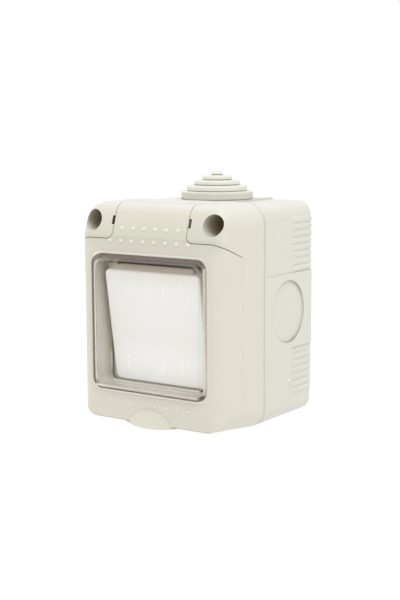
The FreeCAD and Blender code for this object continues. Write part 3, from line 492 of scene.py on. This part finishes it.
    def painted_rim_highlight(self, colour):
        """Painted highlight: lighten the lid's edge round the window."""
        x, y, z = self.axes()
        ring = self.inside(self.pane_ring(x, z), *RIM_RING, RIM_RING_SOFT)
        front = self.fall(y, *RIM_DEPTH)
        left = self.spread(x, 1.0, LID_RIM_HIGHLIGHT_RIGHT, *RIM_RIGHT)
        return self.blend(self.times(ring, front, left), colour, LID_RIM_HIGHLIGHT)

    def dots(self, colour, light):
        """Painted highlight on the moulded dots, which stand out of the lid's front, and painted
        light and shade on the lip.
        """
        _, y, z = self.axes()
        lean = self.most(self.minus(z, LEAN_START), 0.0)
        face = self.calc("ADD", self.times(lean, LEAN_SLOPE), LID_FACE)
        proud = self.minus(face, y)
        above = self.rise(z, LIP_CREST, LIP_CREST + LIP_SOFT)
        share = self.spread(z, LOWER_DOT_HIGHLIGHT, 1.0, *DOT_FADE)
        colour = self.blend(self.times(self.rise(proud, *DOT_PROUD), share, above), colour, light)
        # Painted light on the lip's face, and painted shade where it rises from the front
        below = self.fall(z, LIP_CREST, LIP_CREST + LIP_SOFT)
        colour = self.blend(self.times(below, self.rise(proud, *LIP_PROUD)), colour, LIP_LIGHT)
        return self.blend(self.times(below, self.inside(proud, *LIP_FOOT_PROUD)), colour, LIP_FOOT_SHADE)

    def painted_top_light(self, colour):
        """Painted light: tint the faces that look up."""
        up = self.split(self.normal)[2]
        return self.blend(self.rise(up, *TOP_FACING), colour, CASING_TOP_LIGHT)

    def painted_lean_shade(self, colour):
        """Painted shade: deepen the front where it starts to lean back."""
        z = self.axes()[2]
        front = self.fall(self.split(self.normal)[1], *FRONT_FACING)
        band = self.calc("MINIMUM", self.rise(z, LEAN_LOW, LEAN_START),
                         self.fall(z, LEAN_START, LEAN_HIGH))
        return self.blend(self.times(front, band), colour, CASING_LEAN_SHADE)

    def painted_under_shade(self, colour):
        """Painted shade: a dark line along the lower edge of the upright faces, standing in for the
        shadow where they meet the floor.
        """
        _, y, z = self.axes()
        upright = self.rise(self.split(self.normal)[2], *UPRIGHT_FACING)
        floor = self.times(self.minus(BOX_FRONT, y), UNDER_SLOPE)
        height = self.minus(self.minus(z, floor), UNDER_HEIGHT)
        line = self.times(upright, self.fall(height, *UNDER_LINE))
        return self.blend(line, colour, CASING_UNDER_SHADE)

    def painted_light_by_height(self, colour, light, limits):
        """Painted light: lighten from one height to another."""
        return self.blend(self.rise(self.axes()[2], *limits), colour, light)

    def bump(self, height, distance, strength, edge_radius):
        """Fine relief over softly rounded edges."""
        node = self.add("ShaderNodeBump")
        node.inputs["Distance"].default_value = distance
        node.inputs["Strength"].default_value = strength
        self.link(height, node.inputs["Height"])
        bevel = self.add("ShaderNodeBevel", samples=BEVEL_SAMPLES)
        bevel.inputs["Radius"].default_value = edge_radius
        self.link(bevel.outputs["Normal"], node.inputs["Normal"])
        self.feed(node.outputs["Normal"], "Normal")


def moulded(name, light, deep, roughness, crevice=None, grain=2600.0, relief=0.00003,
            edge=0.00025, soft=0.0, corners=None, dots=None, flanks=False, tiers=None, foot=None):
    """Moulded plastic or rubber: slow colour drift, uneven gloss, fine grain, with painted shade in
    gaps and holes and painted light and shade where asked.
    """
    nodes = Nodes(name)
    colour = nodes.ramp(nodes.noise(*DRIFT_NOISE), deep, light)
    # Painted light on the grommet's upper steps
    if tiers:
        colour = nodes.painted_light_by_height(colour, tiers, TIERS_UP)
    # Painted light on the rocker's lower end
    if foot:
        colour = nodes.painted_light_by_height(colour, foot, ROCKER_FOOT)
    # Painted shade in narrow gaps and holes
    if crevice:
        colour = nodes.painted_crevice_shade(colour, crevice)
    # Casing: painted light on faces that look up, painted shade on the lean, hinge slots, corner
    # holes and lower edge
    if corners:
        colour = nodes.painted_top_light(nodes.painted_lean_shade(colour))
        colour = nodes.slots(nodes.painted_corner_shade(colour, corners), CASING_SLOT_SHADE)
        colour = nodes.painted_under_shade(colour)
    # Box: painted light on faces that look up, painted shade in the knock-out grooves
    if flanks:
        colour = nodes.flanks(nodes.painted_top_light(colour))
    # Lid: painted highlight on the dots and window edge, painted light and shade on the lip
    if dots:
        colour = nodes.painted_rim_highlight(nodes.dots(colour, dots))
    nodes.feed(colour, "Base Color")
    gloss = nodes.noise(*GLOSS_NOISE)
    nodes.feed(nodes.spread(gloss, roughness - GLOSS_RANGE, roughness + GLOSS_RANGE), "Roughness")
    nodes.bump(nodes.noise(grain, *GRAIN_DETAIL), relief, GRAIN_STRENGTH, edge)
    nodes.fix("IOR", PLASTIC_IOR)
    if soft:
        nodes.fix("Subsurface Weight", soft)
        nodes.fix("Subsurface Radius", PLASTIC_SCATTER)
        nodes.fix("Subsurface Scale", 1.0)
    return nodes.material


def metal(name, light, deep, roughness):
    """Stamped or turned metal with fine scratches and uneven polish."""
    nodes = Nodes(name)
    nodes.feed(nodes.ramp(nodes.noise(*METAL_DRIFT_NOISE), deep, light), "Base Color")
    gloss = nodes.noise(*METAL_GLOSS_NOISE)
    low, high = roughness - METAL_GLOSS_RANGE, roughness + METAL_GLOSS_RANGE
    nodes.feed(nodes.spread(gloss, low, high), "Roughness")
    nodes.bump(nodes.noise(*METAL_GRAIN_NOISE), *METAL_RELIEF)
    nodes.fix("Metallic", 1.0)
    return nodes.material


def clear(name):
    """Clear film with painted dark lines along its rim, painted bands of light and shade, painted
    highlights and light raised ticks.
    """
    nodes = Nodes(name)
    x, y, z = nodes.axes()
    ring = nodes.pane_ring(x, z)
    front = nodes.fall(y, *PANE_FRONT_RANGE)
    # Painted shade band along the film's top, over the shaded tunnel top
    shade = nodes.times(front, nodes.rise(z, *SHADE_UP))
    unshaded = nodes.minus(1.0, shade)

    # Painted dark lines at the wall's root and along the lower edge, standing in for refraction at
    # the film's rim
    wall = nodes.times(nodes.rise(ring, *WALL_RING), nodes.inside(y, *WALL_ROOT, FINE))
    line = nodes.times(wall, nodes.spread(x, 1.0, FILM_LINE_RIGHT, *WALL_TURN))
    low = nodes.times(front, nodes.spread(z, FILM_LINE, 0.0, *LOW_LINE_UP))

    # Painted light in bands above and below the rocker
    upper_light = nodes.times(front, unshaded, nodes.inside(z, *UPPER_LIGHT_UP, UPPER_LIGHT_SOFT),
                       nodes.inside(x, *UPPER_LIGHT_ACROSS, BAND_SOFT))
    # Painted light over the tunnel's floor below the rocker
    sill = nodes.times(front, nodes.inside(z, *SILL_UP, FINE),
                       nodes.inside(x, *SILL_ACROSS, BAND_SOFT))

    # Painted light on the skirt and the right wall, and painted highlights along the front edge and
    # the lower ledge
    edge = nodes.times(front, nodes.inside(ring, *EDGE_RING, EDGE_RING_SOFT),
                       nodes.rise(z, *EDGE_UP))
    ledge = nodes.times(front, nodes.inside(z, *LEDGE_UP, FINE), FILM_LEDGE_HIGHLIGHT)
    edge = nodes.times(nodes.most(edge, ledge), unshaded,
                       nodes.spread(x, 1.0, FILM_RIM_HIGHLIGHT_RIGHT, *EDGE_RIGHT), FILM_RIM_HIGHLIGHT)
    right = nodes.spread(x, 0.0, FILM_RIGHT_WALL_LIGHT, *WALL_RIGHT)
    film_light = nodes.most(nodes.rise(y, *SKIRT_DEPTH), edge, right)

    tick = nodes.fall(y, *TICK_PROUD)
    # Film grows darker towards grazing views, painted to stand in for refraction
    glance = nodes.add("ShaderNodeLayerWeight").outputs["Facing"]
    film = nodes.most(
        nodes.spread(glance, FILM_OPEN, FILM_GRAZE, *GRAZE_FACING),
        nodes.times(shade, FILM_SHADE),
        nodes.times(upper_light, FILM_UPPER_LIGHT_SHARE),
        nodes.times(sill, FILM_SILL_LIGHT_SHARE),
        nodes.times(film_light, FILM_LIGHT_SHARE),
        nodes.times(line, FILM_LINE),
        low,
        nodes.times(tick, nodes.spread(z, FILM_TICK, FILM_TICK_UPPER, *TICK_FADE)),
    )
    nodes.feed(film, "Alpha")

    # Film colour: painted light, shade and dark rim lines, then the ticks
    colour = nodes.blend(upper_light, FILM_EDGE, FILM_UPPER_LIGHT)
    colour = nodes.blend(sill, colour, FILM_SILL_LIGHT)
    colour = nodes.blend(shade, colour, FILM_TOP_SHADE)
    colour = nodes.blend(nodes.rise(film_light, 0.0, FILM_RIM_HIGHLIGHT), colour, FILM_SKIRT_LIGHT)
    colour = nodes.blend(nodes.most(line, low), colour, FILM_EDGE)
    nodes.feed(nodes.blend(tick, colour, FILM_MARK), "Base Color")
    nodes.fix("IOR", FILM_IOR)
    nodes.feed(nodes.spread(nodes.noise(*FILM_GLOSS_NOISE), *FILM_GLOSS), "Roughness")
    nodes.bump(nodes.noise(*FILM_WAVE_NOISE), *FILM_RELIEF)
    return nodes.material


casing = moulded("casing", CASING, CASING_DEEP, roughness=0.42, soft=0.05, corners=CASING_CREVICE_SHADE)
box = moulded("box_casing", BOX, BOX_DEEP, roughness=0.42, soft=0.05, flanks=True)
lid = moulded("lid_casing", CASING, CASING_DEEP, roughness=0.42, soft=0.05,
              corners=CASING_CREVICE_SHADE, dots=DOT_HIGHLIGHT)
rocker = moulded("rocker_white", ROCKER, ROCKER_DEEP, roughness=0.36, crevice=ROCKER_CREVICE_SHADE,
                 grain=3200.0, relief=0.00002, foot=ROCKER_LOW_LIGHT)
rubber = moulded("grommet_rubber", RUBBER, RUBBER_DEEP, roughness=0.62, crevice=RUBBER_CREVICE_SHADE,
                 grain=1800.0, relief=0.00005, soft=0.08, tiers=RUBBER_TIERS_LIGHT)
seal = moulded("seal_rubber", SEAL, SEAL_DEEP, roughness=0.70, grain=1500.0, relief=0.00005)
housing = moulded("mechanism_plastic", HOUSING, HOUSING_DEEP, roughness=0.50,
                  crevice=HOUSING_CREVICE_SHADE)
nylon = moulded("nylon", NYLON, NYLON_DEEP, roughness=0.45, soft=0.1)
brass = metal("brass", BRASS, BRASS_DEEP, roughness=0.30)
silver = metal("contact_silver", SILVER, SILVER_DEEP, roughness=0.22)
steel = metal("plated_steel", STEEL, STEEL_DEEP, roughness=0.32)
window = clear("clear_window")

FINISH = {
    casing: ("front_frame", "window_retainer"),
    box: ("back_box",),
    lid: ("lid",),
    rocker: ("rocker",),
    window: ("window_membrane",),
    rubber: ("cable_grommet",),
    seal: ("box_seal", "collar_seal"),
    housing: ("mechanism_housing", "terminal_plate"),
    nylon: ("plunger",),
    brass: ("moving_contact", "upper_terminal", "lower_terminal", "common_terminal"),
    silver: ("moving_rivets", "fixed_rivets"),
    steel: ("case_screws", "module_screws", "terminal_screws", "plunger_spring"),
}
for material, names in FINISH.items():
    for name in names:
        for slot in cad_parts[name].material_slots:
            slot.material = material


def add_spring():
    """Coil of the plunger spring, a copy that moves with the rocker."""
    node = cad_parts["plunger_spring"]
    coil = bpy.data.objects.new("spring_coil", node.data.copy())
    bpy.context.scene.collection.objects.link(coil)
    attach(coil, "rocker")
    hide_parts("plunger_spring")
    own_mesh(coil)


def add_floor():
    bpy.ops.mesh.primitive_plane_add(size=FLOOR_SIZE, location=(0.0, 0.0, cad_box[0][2]))
    floor = bpy.context.object
    floor.name = "floor"
    nodes = Nodes("floor")
    deep = tuple(part * FLOOR_MOTTLE for part in FLOOR_COLOUR)
    nodes.feed(nodes.ramp(nodes.noise(*FLOOR_NOISE), deep, FLOOR_COLOUR), "Base Color")
    nodes.fix("Roughness", FLOOR_ROUGHNESS)
    nodes.fix("Emission Color", (*WHITE, 1.0))
    nodes.fix("Emission Strength", FLOOR_GLOW)
    floor.data.materials.append(nodes.material)


def add_world():
    world = bpy.data.worlds.new("studio")
    world.use_nodes = True
    background = world.node_tree.nodes["Background"]
    background.inputs["Color"].default_value = (*WHITE, 1.0)
    background.inputs["Strength"].default_value = WORLD_STRENGTH
    bpy.context.scene.world = world


add_camera()
add_spring()
add_floor()
add_world()
for lamp in LAMPS:
    add_lamp(*lamp)
bpy.context.scene.view_settings.view_transform = "Standard"
